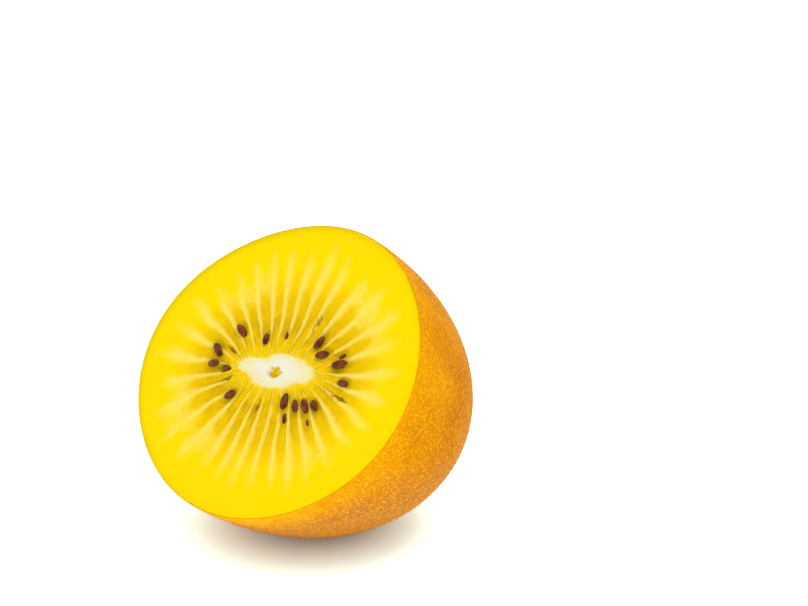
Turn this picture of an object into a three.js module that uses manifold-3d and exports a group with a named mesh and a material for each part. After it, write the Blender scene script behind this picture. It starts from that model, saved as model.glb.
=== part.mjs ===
// Half a golden kiwi fruit, cut across its middle and lying on its skin, in millimetres with +Z up.
// It grew as one piece, so skin, flesh and core are one solid, with the seeds fused to its cut face.
// The fruit is drawn with its cut face up, at Z = 0, and its closed end below, and is then laid over.
import * as THREE from "three";
import { mergeVertices } from "three/addons/utils/BufferGeometryUtils.js";
import Module from "manifold-3d";

const wasm = await Module();
wasm.setup();

// Driving dimensions: the half fruit
const longHalf = 27; // from the middle of the cut to the skin, along its long way
const shortHalf = longHalf / 1.159; // and across it
const depth = 32.6; // from the cut to the closed end
const fullness = 2.23; // of the side's curve, where 2 is a plain ellipsoid
const bulges = { cos3: -0.0096, sin3: 0.001, cos4: 0.0014, sin4: -0.0088 }; // of the outline, as shares

// Driving dimensions: the cut face
const core = { x: 0.1, y: -0.1, long: 8.4, short: 2.9, rise: 0.2, swellEnd: 0.12 };
const pit = { x: -0.2, y: -0.3, long: 1.25, short: 0.65, deep: 0.45, sides: 10, rings: 8 };
const rays = { count: 31, first: 5.4, spread: 6.8, spreadTurn: 10.8, jitter: 0.8 }; // degrees
const groove = { deep: 0.32, start: 0.02, full: 0.2, fading: 0.5, end: 0.86 }; // between the rays
const faceShares = [1, 0.9, 0.78, 0.64, 0.5, 0.37, 0.25, 0.15, 0.07, 0]; // of the way out, a ring at each
const coreShares = [0.7, 0.35]; // of the core's own size
const seed = { long: 2.5, wide: 1.75, thick: 1.3, sides: 8, steps: 6 };
const seedForm = { skew: 0.85, blunt: 1.06, taper: 0.3 }; // of its drop, seen from the side

// Driving dimensions: the skin with the scar at its closed end, and how the fruit lies. The skin's rings
// are shares of its full width, and each list has half the points a ring of the one before it.
const wideRings = [0.995, 0.975, 0.94, 0.885, 0.81, 0.715, 0.605];
const middleRings = [0.485, 0.37, 0.27, 0.19];
const smallRings = [0.14, 0.105, 0.075, 0.04];
const scar = { radius: 2.7, rise: 0.35, rimWidth: 0.3, bowl: 0.6, bowlWidth: 0.85 };
const faceLean = 37.9; // of the cut face's normal above the level
const faceSpin = 13.7; // of the long way of the cut, about that normal
const restFlat = 0.35; // how deep the soft skin is pressed flat where it lies

// The seeds that the cut shows. Each lies in the gap after a ray, counted from the right-hand end of the
// core, at a share of the way from the core to the skin. Then come its size as a share, its turn off the
// gap's line in degrees, and how far its middle stands above the face.
const seedPlaces = [
  [0, 0.22, 1.1, 0, 0.12],
  [1, 0.25, 0.65, 0, -0.2],
  [2, 0.11, 0.95, -25, 0.12],
  [3, 0.17, 0.95, 10, 0.1],
  [7, 0.15, 0.7, 0, -0.15],
  [9, 0.13, 0.8, -10, 0],
  [11, 0.275, 1.0, 8, 0.1],
  [14, 0.28, 1.05, -26, 0.12],
  [15, 0.25, 1.0, 5, 0.12],
  [15, 0.11, 0.7, 0, -0.2],
  [18, 0.17, 0.95, -20, 0.1],
  [24, 0.11, 1.1, -10, 0.12],
  [24, 0.235, 0.75, 0, -0.2],
  [25, 0.16, 0.9, 0, 0.05],
  [26, 0.19, 1.0, -6, 0.1],
  [26, 0.33, 0.7, 0, -0.2],
  [27, 0.22, 0.95, 0, 0.05],
  [30, 0.285, 0.9, 0, 0.05],
];

const { degToRad: radians, smoothstep } = THREE.MathUtils;
const fullTurn = 2 * Math.PI;
const joinWithin = 1e-3; // points closer than this are one point

// A seeded draw from -1 to 1, so that each run gives the same fruit
const drawFactor = 16807;
const drawRange = 2147483647;
let drawState = 7;
function draw() {
  drawState = (drawState * drawFactor) % drawRange;
  return (2 * drawState) / drawRange - 1;
}

// Angles of the rays: even round the core, opened out at its two ends, with a small draw on each
const rayAngles = Array.from({ length: rays.count }, (_, i) => {
  const even = rays.first + (i * 360) / rays.count;
  return radians(even + rays.spread * Math.sin(2 * radians(even - rays.spreadTurn)) + rays.jitter * draw());
});

// One column of points on each ray and three in the gap that follows it
const columnsPerRay = 4;
const columns = rayAngles.flatMap((angle, i) => {
  const next = rayAngles[i + 1] ?? rayAngles[0] + fullTurn;
  return Array.from({ length: columnsPerRay }, (_, k) => angle + ((next - angle) * k) / columnsPerRay);
});

// The outline of the fruit at a share of its depth, 0 at the cut and 1 at the closed end
function outline(angle, share) {
  const reach = Math.sqrt(1 - share ** fullness);
  const bulge =
    bulges.cos3 * Math.cos(3 * angle) +
    bulges.sin3 * Math.sin(3 * angle) +
    bulges.cos4 * Math.cos(4 * angle) +
    bulges.sin4 * Math.sin(4 * angle);
  const size = reach * (1 + (1 - share) * bulge);
  return new THREE.Vector2(longHalf * Math.cos(angle) * size, shortHalf * Math.sin(angle) * size);
}

function coreEdge(angle, share = 1) {
  return new THREE.Vector2(
    core.x + share * core.long * Math.cos(angle),
    core.y + share * core.short * Math.sin(angle),
  );
}

// Depth of the groove at a share of the way from the core to the skin, for a column's place in its gap
function grooveDepth(share, column) {
  const opening = smoothstep(share, groove.start, groove.full);
  const closing = 1 - smoothstep(share, groove.fading, groove.end);
  const across = Math.sin((Math.PI * (column % columnsPerRay)) / columnsPerRay);
  return groove.deep * opening * closing * across;
}

// Height of the cut face at a share of the way from the core to the skin, -1 being the core's middle
function faceHeight(share, column) {
  const swell = share < 0 ? 1 : 1 - smoothstep(share, 0, core.swellEnd);
  return core.rise * swell - grooveDepth(Math.max(share, 0), column);
}

// Rings of the cut face from the skin in to the core's edge, on every column
function faceRings() {
  return faceShares.map((share) =>
    columns.map((angle, column) => {
      const flat = coreEdge(angle).lerp(outline(angle, 0), share);
      return new THREE.Vector3(flat.x, flat.y, faceHeight(share, column));
    }),
  );
}

// Rings of the core, each with half the points of the one round it
function coreRings() {
  return coreShares.map((share, ring) =>
    columns
      .filter((_, column) => column % 2 ** (ring + 1) === 0)
      .map((angle) => {
        const flat = coreEdge(angle, share);
        return new THREE.Vector3(flat.x, flat.y, faceHeight(-1, 0));
      }),
  );
}

// The scar at the closed end: a low rim round a shallow bowl, by distance from the fruit's axis
function scarHeight(distance) {
  const fromRim = (distance - scar.radius) / (scar.rimWidth * scar.radius);
  const inBowl = 1 - smoothstep(distance, 0, scar.bowlWidth * scar.radius);
  return scar.rise * Math.exp(-(fromRim ** 2)) - scar.bowl * inBowl;
}

// One ring of the skin, at the depth where an ellipsoid's ring would have this share of the full width
function skinRing(width, every) {
  const share = (1 - width ** 2) ** (1 / fullness);
  return columns
    .filter((_, column) => column % every === 0)
    .map((angle) => {
      const flat = outline(angle, share);
      return new THREE.Vector3(flat.x, flat.y, -share * depth - scarHeight(flat.length()));
    });
}

// Rings of the skin from the cut to the closed end, with fewer points where the rings are small
function skinRings() {
  const wide = wideRings.map((width) => skinRing(width, 1));
  const middle = middleRings.map((width) => skinRing(width, 2));
  const small = smallRings.map((width) => skinRing(width, 4));
  return [...wide, ...middle, ...small];
}

// Triangles between two rings, the inner with as many points as the outer or half of them
function stitch(outer, inner) {
  const triangles = [];
  const step = outer.length / inner.length;
  inner.forEach((here, i) => {
    const next = inner[(i + 1) % inner.length];
    const [a, b, c] = [0, 1, 2].map((k) => outer[(i * step + k) % outer.length]);
    if (step === 1) triangles.push(a, b, here, b, next, here);
    else triangles.push(a, b, here, b, next, here, b, c, next);
  });
  return triangles;
}

// The cap that closes a ring at its middle point
function fan(ring, middle) {
  return ring.flatMap((point, i) => [point, ring[(i + 1) % ring.length], middle]);
}

function stitchAll(rings) {
  return rings.slice(1).flatMap((inner, i) => stitch(rings[i], inner));
}

// The whole half: the cut face wound one way round from its rim, and the skin the other way
function fruitGeometry() {
  const face = faceRings();
  const top = [...face, ...coreRings()];
  const skin = [face[0], ...skinRings()];
  const coreMiddle = new THREE.Vector3(core.x, core.y, faceHeight(-1, 0));
  const poleMiddle = new THREE.Vector3(0, 0, -depth - scarHeight(0));
  const faceTriangles = [...stitchAll(top), ...fan(top.at(-1), coreMiddle)];
  const skinTriangles = [...stitchAll(skin), ...fan(skin.at(-1), poleMiddle)].reverse();
  return new THREE.BufferGeometry().setFromPoints([...faceTriangles, ...skinTriangles]);
}

// One seed: a flattened drop that lies along X with its pointed end towards the core
function seedGeometry() {
  const profile = Array.from({ length: seed.steps + 1 }, (_, i) => {
    const along = i / seed.steps;
    const onAxis = i === 0 || i === seed.steps;
    const round = 0.5 * Math.sin(Math.PI * along ** seedForm.skew);
    const radius = round * (seedForm.blunt - seedForm.taper * along);
    return new THREE.Vector2(onAxis ? 0 : radius, 0.5 - along);
  });
  return new THREE.LatheGeometry(profile.reverse(), seed.sides)
    .rotateZ(-Math.PI / 2)
    .scale(seed.long, seed.wide, seed.thick);
}

// A point of the flat cut at a share of the way from the core to the skin, along the middle of a gap
function gapPoint(gap, share) {
  const angle = (rayAngles[gap] + (rayAngles[gap + 1] ?? rayAngles[0] + fullTurn)) / 2;
  return coreEdge(angle).lerp(outline(angle, 0), share);
}

function placedSeed([gap, share, size, turn, height]) {
  const middle = gapPoint(gap, share);
  const outwards = gapPoint(gap, 1).sub(gapPoint(gap, 0)).angle();
  return seedGeometry()
    .scale(size, size, size)
    .rotateZ(outwards + radians(turn))
    .translate(middle.x, middle.y, height);
}

// A closed mesh as a solid that can be joined and cut
function solid(geometry) {
  const bare = new THREE.BufferGeometry().setAttribute("position", geometry.getAttribute("position"));
  const merged = mergeVertices(geometry.index ? bare.setIndex(geometry.index) : bare, joinWithin);
  return new wasm.Manifold(
    new wasm.Mesh({
      numProp: 3,
      vertProperties: merged.getAttribute("position").array,
      triVerts: new Uint32Array(merged.index.array),
    }),
  );
}

// How the fruit lies: tipped back about X after a turn about its own axis
const lying = new THREE.Euler(radians(90 - faceLean), 0, radians(faceSpin));

// The block under the fruit that the rest flat is cut by, in the fruit's own frame
function groundBlock(geometry) {
  const blockHalf = 2 * depth;
  const standing = geometry.clone().applyMatrix4(new THREE.Matrix4().makeRotationFromEuler(lying));
  standing.computeBoundingBox();
  const level = standing.boundingBox.min.z + restFlat;
  const toFruit = new THREE.Matrix4().makeRotationFromEuler(lying).transpose();
  const block = new THREE.BoxGeometry(2 * blockHalf, 2 * blockHalf, 2 * blockHalf)
    .translate(0, 0, level - blockHalf)
    .applyMatrix4(toFruit);
  return { block, level };
}

function pitGeometry() {
  return new THREE.SphereGeometry(1, pit.sides, pit.rings)
    .scale(pit.long, pit.short, pit.deep)
    .translate(pit.x, pit.y, core.rise);
}

// Colours of the tissues, each triangle by where its middle lies
const tissues = { skin: 0xc98a35, flesh: 0xf4cf12, core: 0xf6efd2, seed: 0x4a2a1c };
const tissueEdges = { skinBelow: -1.2, seedAbove: 0.08, seedsFrom: 1.15 };
function tissueAt(middle) {
  const fromCore = Math.hypot((middle.x - core.x) / core.long, (middle.y - core.y) / core.short);
  const standsUp = middle.z > tissueEdges.seedAbove && fromCore > tissueEdges.seedsFrom;
  if (middle.z < tissueEdges.skinBelow) return tissues.skin;
  if (fromCore < 1) return tissues.core;
  return standsUp ? tissues.seed : tissues.flesh;
}

function colourTissues(geometry) {
  const position = geometry.getAttribute("position");
  const colours = new Float32Array(position.count * 3);
  for (let first = 0; first < position.count; first += 3) {
    const corners = [0, 1, 2].map((k) => new THREE.Vector3().fromBufferAttribute(position, first + k));
    const middle = corners[0].clone().add(corners[1]).add(corners[2]).divideScalar(3);
    const colour = new THREE.Color(tissueAt(middle));
    corners.forEach((_, k) => colour.toArray(colours, 3 * (first + k)));
  }
  return geometry.setAttribute("color", new THREE.BufferAttribute(colours, 3));
}

// A solid back as a three.js geometry, each triangle with its own corners
function geometryOf(made) {
  const mesh = made.getMesh();
  const geometry = new THREE.BufferGeometry()
    .setAttribute("position", new THREE.BufferAttribute(mesh.vertProperties, 3))
    .setIndex(new THREE.BufferAttribute(mesh.triVerts, 1))
    .toNonIndexed();
  geometry.computeVertexNormals();
  return geometry;
}

// The centre of the rest flat, in world directions from the middle of the cut
function restCentre(geometry, level) {
  const standing = geometry.clone().applyMatrix4(new THREE.Matrix4().makeRotationFromEuler(lying));
  const position = standing.getAttribute("position");
  const flat = new THREE.Box3();
  for (let i = 0; i < position.count; i++) {
    const point = new THREE.Vector3().fromBufferAttribute(position, i);
    if (Math.abs(point.z - level) < joinWithin) flat.expandByPoint(point);
  }
  return flat.getCenter(new THREE.Vector3());
}

function kiwiHalf() {
  const plain = fruitGeometry();
  const { block, level } = groundBlock(plain);
  const whole = seedPlaces
    .reduce((made, place) => made.add(solid(placedSeed(place))), solid(plain))
    .subtract(solid(pitGeometry()))
    .subtract(solid(block));
  const geometry = colourTissues(geometryOf(whole));
  const material = new THREE.MeshStandardMaterial({ vertexColors: true, roughness: 0.55, metalness: 0 });
  const mesh = new THREE.Mesh(geometry, material);
  mesh.name = "kiwi_half";
  mesh.rotation.copy(lying);
  mesh.position.copy(restCentre(geometry, level).negate());
  return mesh;
}

const fruit = new THREE.Group();
fruit.add(kiwiHalf());

export default fruit;
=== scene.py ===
# Half a golden kiwi fruit lying on its skin, its yellow cut face leaning back
import math
import random

import bpy
import numpy as np
from mathutils import Euler, Matrix, Vector, noise


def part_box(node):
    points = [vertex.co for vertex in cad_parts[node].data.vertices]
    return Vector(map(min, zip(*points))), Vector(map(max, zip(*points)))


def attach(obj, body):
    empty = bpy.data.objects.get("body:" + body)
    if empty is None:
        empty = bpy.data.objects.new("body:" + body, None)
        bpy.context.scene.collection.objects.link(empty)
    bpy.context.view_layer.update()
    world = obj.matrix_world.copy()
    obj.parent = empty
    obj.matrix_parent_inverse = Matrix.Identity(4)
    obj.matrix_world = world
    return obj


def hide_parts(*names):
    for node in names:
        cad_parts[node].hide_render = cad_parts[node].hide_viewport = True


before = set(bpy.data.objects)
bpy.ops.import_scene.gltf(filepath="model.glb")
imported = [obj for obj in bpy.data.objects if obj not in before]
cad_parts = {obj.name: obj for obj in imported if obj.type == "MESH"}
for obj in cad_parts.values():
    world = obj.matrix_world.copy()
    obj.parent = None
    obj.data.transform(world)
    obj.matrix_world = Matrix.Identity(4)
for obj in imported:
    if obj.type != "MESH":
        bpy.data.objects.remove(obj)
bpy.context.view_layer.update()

mm = 0.001

# The fruit's own form, with its cut face up at Z = 0 and its closed end below
fruit = {
    "longHalf": 27 * mm,  # from the middle of the cut to the skin, the long way
    "shortHalf": 27 / 1.159 * mm,
    "depth": 32.6 * mm,  # from the cut to the closed end
    "fullness": 2.23,  # of the side's curve, where 2 is an ellipsoid
    "bulges": {"cos3": -0.0096, "sin3": 0.001, "cos4": 0.0014, "sin4": -0.0088},
    "lean": math.radians(37.9),  # of the cut face's normal above the level
    "spin": math.radians(13.7),  # of the cut's long way about that normal
}

# The core in the cut face, and the rays that run out from it
core = {"x": 0.1 * mm, "y": -0.1 * mm, "long": 8.4 * mm, "short": 2.9 * mm}
rays = {"count": 31, "first": 5.4, "spread": 6.8, "spreadTurn": 10.8, "jitter": 0.8}  # degrees


# Helpers

def deselectAll():
    bpy.ops.object.select_all(action="DESELECT")


def editMode(on):
    bpy.ops.object.mode_set(mode="EDIT" if on else "OBJECT")


def readPoints(mesh):
    points = np.empty(len(mesh.vertices) * 3, np.float32)
    mesh.vertices.foreach_get("co", points)
    return points.reshape(-1, 3).astype(float)


def writePoints(mesh, points):
    mesh.vertices.foreach_set("co", points.astype(np.float32).ravel())
    mesh.update()


def writeAttribute(mesh, name, values):
    attribute = mesh.attributes.new(name, "FLOAT", "POINT")
    attribute.data.foreach_set("value", values.astype(np.float32))


def applyModifiers(piece):
    deselectAll()
    piece.select_set(True)
    bpy.context.view_layer.objects.active = piece
    for modifier in list(piece.modifiers):
        bpy.ops.object.modifier_apply(modifier=modifier.name)


def smoothShade(piece, angle):
    deselectAll()
    piece.select_set(True)
    bpy.context.view_layer.objects.active = piece
    bpy.ops.object.shade_smooth_by_angle(angle=math.radians(angle))


def smoothstep(x, low, high):
    t = np.clip((x - low) / (high - low), 0, 1)
    return t * t * (3 - 2 * t)


def noiseAt(points, size):
    # Soft noise from -1 to 1 whose lumps have this size
    return np.array([noise.noise(Vector(p)) for p in points / size])


# The fruit's form

def outline(angle, share):
    # Rings of the fruit: share is 0 at the cut and 1 at the closed end
    b = fruit["bulges"]
    bulge = (b["cos3"] * np.cos(3 * angle) + b["sin3"] * np.sin(3 * angle)
             + b["cos4"] * np.cos(4 * angle) + b["sin4"] * np.sin(4 * angle))
    size = np.sqrt(np.clip(1 - share ** fruit["fullness"], 0, 1)) * (1 + (1 - share) * bulge)
    return np.stack([fruit["longHalf"] * np.cos(angle) * size,
                     fruit["shortHalf"] * np.sin(angle) * size,
                     -share * fruit["depth"] * np.ones_like(angle)], -1)


def coreEdge(angle, share):
    return np.stack([core["x"] + share * core["long"] * np.cos(angle),
                     core["y"] + share * core["short"] * np.sin(angle),
                     np.zeros_like(angle)], -1)


def layOver():
    # The turn that lays the fruit on its skin, and the place where it fills the frame's box
    tip = Euler((math.pi / 2 - fruit["lean"], 0, 0)).to_matrix()
    spin = Euler((0, 0, fruit["spin"])).to_matrix()
    turn = tip @ spin
    angle, share = np.meshgrid(np.linspace(0, 2 * math.pi, 721), np.linspace(0, 1, 181))
    points = outline(angle.ravel(), share.ravel()) @ np.array(turn).T
    low, high = (np.array(corner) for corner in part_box("kiwi_half"))
    place = Vector((low + high - points.min(0) - points.max(0)) / 2)
    place.z = high[2] - points[:, 2].max()  # the underside is pressed flat, so the top sets the height
    return Matrix.Translation(place) @ turn.to_4x4()


def makeRayAngles():
    # Even round the core, opened out at its two ends, with a small seeded draw on each
    angles = []
    factor, largest = 16807, 2147483647  # of the plain number generator behind the draws
    state = 7
    for i in range(rays["count"]):
        even = rays["first"] + i * 360 / rays["count"]
        state = state * factor % largest
        draw = 2 * state / largest - 1
        opened = rays["spread"] * math.sin(math.radians(2 * (even - rays["spreadTurn"])))
        angles.append(math.radians(even + opened + rays["jitter"] * draw))
    return np.array(angles + [angles[0] + 2 * math.pi])


rayAngles = makeRayAngles()
lying = layOver()


def rayToAngle(place):
    # place counts rays: 2.5 is halfway between the third ray and the fourth
    return np.interp(place % rays["count"], np.arange(rays["count"] + 1), rayAngles)


def facePoint(place, out):
    # out is -1 at the core's middle, 0 at its edge and 1 at the skin
    angle = rayToAngle(place)
    onCore = coreEdge(angle, 1 + np.minimum(out, 0))
    return onCore + (outline(angle, np.zeros_like(angle)) - onCore) * np.maximum(out, 0)[..., None]


# Materials

def linear(code):
    # sRGB hex to linear colour
    parts = [int(code[i:i + 2], 16) / 255 for i in (1, 3, 5)]
    return [c / 12.92 if c <= 0.04045 else ((c + 0.055) / 1.055) ** 2.4 for c in parts] + [1]


def addNode(tree, kind, inputs, output=0, **settings):
    node = tree.nodes.new("ShaderNode" + kind)
    for name, value in settings.items():
        setattr(node, name, value)
    for socket, value in inputs.items():
        if isinstance(value, bpy.types.NodeSocket):
            tree.links.new(value, node.inputs[socket])
        else:
            node.inputs[socket].default_value = value
    return node.outputs[output]


def startMaterial(name):
    made = bpy.data.materials.new(name)
    made.use_nodes = True
    made.node_tree.nodes.clear()
    return made, made.node_tree


def endMaterial(tree, inputs):
    surface = addNode(tree, "BsdfPrincipled", inputs)
    tree.links.new(surface, tree.nodes.new("ShaderNodeOutputMaterial").inputs["Surface"])


skinLook = {
    "gold": "#f2a600",  # near the cut, where light comes through the flesh
    "amber": "#d28200",
    "bronze": "#b66c0c",  # towards the closed end
    "floorSheen": "#c07a30",  # low down: painted sheen, the white floor's light reflected on the lower skin
    "floorSheenTop": 22 * mm,
    "gapGrainShade": "#e2bc96",  # darkens the grain in the low gaps: the skin's own grain and painted shade
    "light": "#f4a000",
    "paleDot": "#f2a858",
    "cutEdge": "#dc9a00",
    "scarBrown": "#96602e",
    "scarDark": "#5c3616",
    "dotSize": 0.6 * mm,
    "speckSize": 0.46 * mm,
    "grainSize": 0.25 * mm,
    "blotchSize": 7 * mm,
    "warp": 0.14 * mm,
    "relief": 0.22 * mm,
}


def makeSkinMaterial():
    # Kiwi skin: thin, dry and leathery. Soft corky dots lie close together with a darker grain between
    # them, partly the skin's own grain and partly painted shade in the low gaps, and where the skin turns
    # away its down catches the light. Low down it is mixed towards a duller tan, a painted sheen of the
    # floor's light.
    look = skinLook
    made, tree = startMaterial("kiwi skin, downy")
    at = addNode(tree, "TexCoord", {}, output="Object")
    share = addNode(tree, "Attribute", {}, output="Fac", attribute_name="fromCut")
    blotch = addNode(tree, "TexNoise", {"Vector": at, "Scale": 1 / look["blotchSize"], "Detail": 3})
    grain = addNode(tree, "TexNoise", {"Vector": at, "Scale": 1 / look["grainSize"], "Detail": 2})
    # Dots, each with its own size and strength
    swirl = addNode(tree, "TexNoise", {"Vector": at, "Scale": 1 / look["dotSize"]}, output="Color")
    warped = addNode(tree, "VectorMath", {0: swirl, 1: [look["warp"]] * 3, 2: at}, operation="MULTIPLY_ADD")
    cells = addNode(tree, "TexVoronoi", {"Vector": warped, "Scale": 1 / look["dotSize"]}, output="Distance")
    draws = addNode(tree, "TexVoronoi", {"Vector": warped, "Scale": 1 / look["dotSize"]}, output="Color")
    strengthDraw = addNode(tree, "SeparateColor", {0: draws}, output="Red")
    paleDraw = addNode(tree, "SeparateColor", {0: draws}, output="Green")
    rough = addNode(tree, "MapRange", {"Value": grain, "To Min": -0.35, "To Max": 0.35})
    ragged = addNode(tree, "Math", {0: cells, 1: rough}, operation="ADD")
    dot = addNode(tree, "MapRange", {"Value": ragged, "From Min": 0.55, "From Max": 0.1},
                  interpolation_type="SMOOTHSTEP")
    # Finer grains between them
    fineCells = addNode(tree, "TexVoronoi", {"Vector": warped, "Scale": 1 / look["speckSize"]},
                        output="Distance")
    fineDraws = addNode(tree, "TexVoronoi", {"Vector": warped, "Scale": 1 / look["speckSize"]},
                        output="Color")
    fineDraw = addNode(tree, "SeparateColor", {0: fineDraws}, output="Red")
    fineDot = addNode(tree, "MapRange", {"Value": fineCells, "From Min": 0.62, "From Max": 0.12},
                      interpolation_type="SMOOTHSTEP")
    speck = addNode(tree, "Math", {0: fineDot, 1: fineDraw}, operation="MULTIPLY")
    # Gold near the cut, amber on the sides, bronze at the closed end
    away = addNode(tree, "Math", {0: share, 1: blotch}, operation="ADD")
    toAmber = addNode(tree, "MapRange", {"Value": away, "From Min": 0.42, "From Max": 0.95})
    toBronze = addNode(tree, "MapRange", {"Value": away, "From Min": 0.9, "From Max": 1.6})
    sunny = addNode(tree, "Mix", {0: toAmber, 6: linear(look["gold"]), 7: linear(look["amber"])},
                    output=2, data_type="RGBA")
    base = addNode(tree, "Mix", {0: toBronze, 6: sunny, 7: linear(look["bronze"])},
                   output=2, data_type="RGBA")
    # Painted sheen: lower down, the skin is mixed towards a duller tan for the white floor's light on it
    height = addNode(tree, "SeparateXYZ", {0: at}, output="Z")
    cloudy = addNode(tree, "Math", {0: blotch, 1: look["floorSheenTop"], 2: height}, operation="MULTIPLY_ADD")
    isLow = addNode(tree, "MapRange", {"Value": cloudy, "From Min": 1.5 * look["floorSheenTop"],
                                       "From Max": look["floorSheenTop"]}, interpolation_type="SMOOTHSTEP")
    offCut = addNode(tree, "MapRange", {"Value": share, "From Min": 0.04, "From Max": 0.2, "To Max": 0.9})
    sheenShare = addNode(tree, "Math", {0: isLow, 1: offCut}, operation="MULTIPLY")
    sheened = addNode(tree, "Mix", {0: sheenShare, 6: base, 7: linear(look["floorSheen"])}, output=2, data_type="RGBA")
    # Darker grain in the low gaps between the dots: the skin's own grain and painted shade
    gap = addNode(tree, "MapRange", {"Value": speck, "From Min": 0.22, "From Max": -0.12})
    grained = addNode(tree, "Mix", {0: gap, 6: sheened, 7: linear(look["gapGrainShade"])},
                      output=2, data_type="RGBA", blend_type="MULTIPLY")
    strength = addNode(tree, "MapRange", {"Value": strengthDraw, "From Min": 0.3, "To Max": 0.65})
    crown = addNode(tree, "Math", {0: dot, 1: strength}, operation="MULTIPLY")
    bright = addNode(tree, "MapRange", {"Value": speck, "From Min": 0.15, "From Max": 0.65, "To Max": 0.6})
    lit = addNode(tree, "Math", {0: crown, 1: bright}, operation="MAXIMUM")
    isPale = addNode(tree, "MapRange", {"Value": paleDraw, "From Min": 0.9, "From Max": 0.95,
                                        "To Max": 0.7})
    dotColour = addNode(tree, "Mix", {0: isPale, 6: linear(look["light"]), 7: linear(look["paleDot"])},
                        output=2, data_type="RGBA")
    dotted = addNode(tree, "Mix", {0: lit, 6: grained, 7: dotColour}, output=2, data_type="RGBA")
    atCut = addNode(tree, "MapRange", {"Value": share, "From Max": 0.008, "To Min": 0.7, "To Max": 0.0})
    edged = addNode(tree, "Mix", {0: atCut, 6: dotted, 7: linear(look["cutEdge"])},
                    output=2, data_type="RGBA")
    corky = addNode(tree, "Attribute", {}, output="Fac", attribute_name="scar")
    cracked = addNode(tree, "MapRange", {"Value": grain, "From Min": 0.55, "From Max": 0.4})
    cork = addNode(tree, "Mix", {0: cracked, 6: linear(look["scarBrown"]), 7: linear(look["scarDark"])},
                   output=2, data_type="RGBA")
    colour = addNode(tree, "Mix", {0: corky, 6: edged, 7: cork}, output=2, data_type="RGBA")
    relief = addNode(tree, "Math", {0: dot, 1: 0.4, 2: speck}, operation="MULTIPLY_ADD")
    bump = addNode(tree, "Bump", {"Height": relief, "Strength": 0.6, "Distance": look["relief"]})
    endMaterial(tree, {"Base Color": colour, "Roughness": 0.5, "IOR": 1.45, "Specular IOR Level": 0.01,
                       "Subsurface Weight": 0.15, "Subsurface Radius": (1.0, 0.5, 0.1),
                       "Subsurface Scale": 0.8 * mm, "Normal": bump})
    return made


fleshLook = {
    "outer": "#face00",
    "pocket": "#d2a600",
    "golden": "#efbe00",
    "olive": "#a08400",
    "ray": "#fdd863",
    "core": "#e6dcc8",
    "coreEdge": "#e8d692",
    "pit": "#d2a800",
    "pitMiddle": "#ecc200",
    "slit": "#8f7c1a",
    "rim": "#dabc00",
    "rimTurn": math.radians(130),
    "webs": 4,  # places round the cut where the pale flames run together
    "webTurn": math.radians(27),
    "bendSize": 7 * mm,
    "edgeSize": 0.9 * mm,
    "fibreSize": 0.35 * mm,
    "fibreRelief": 0.08 * mm,
}


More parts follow.
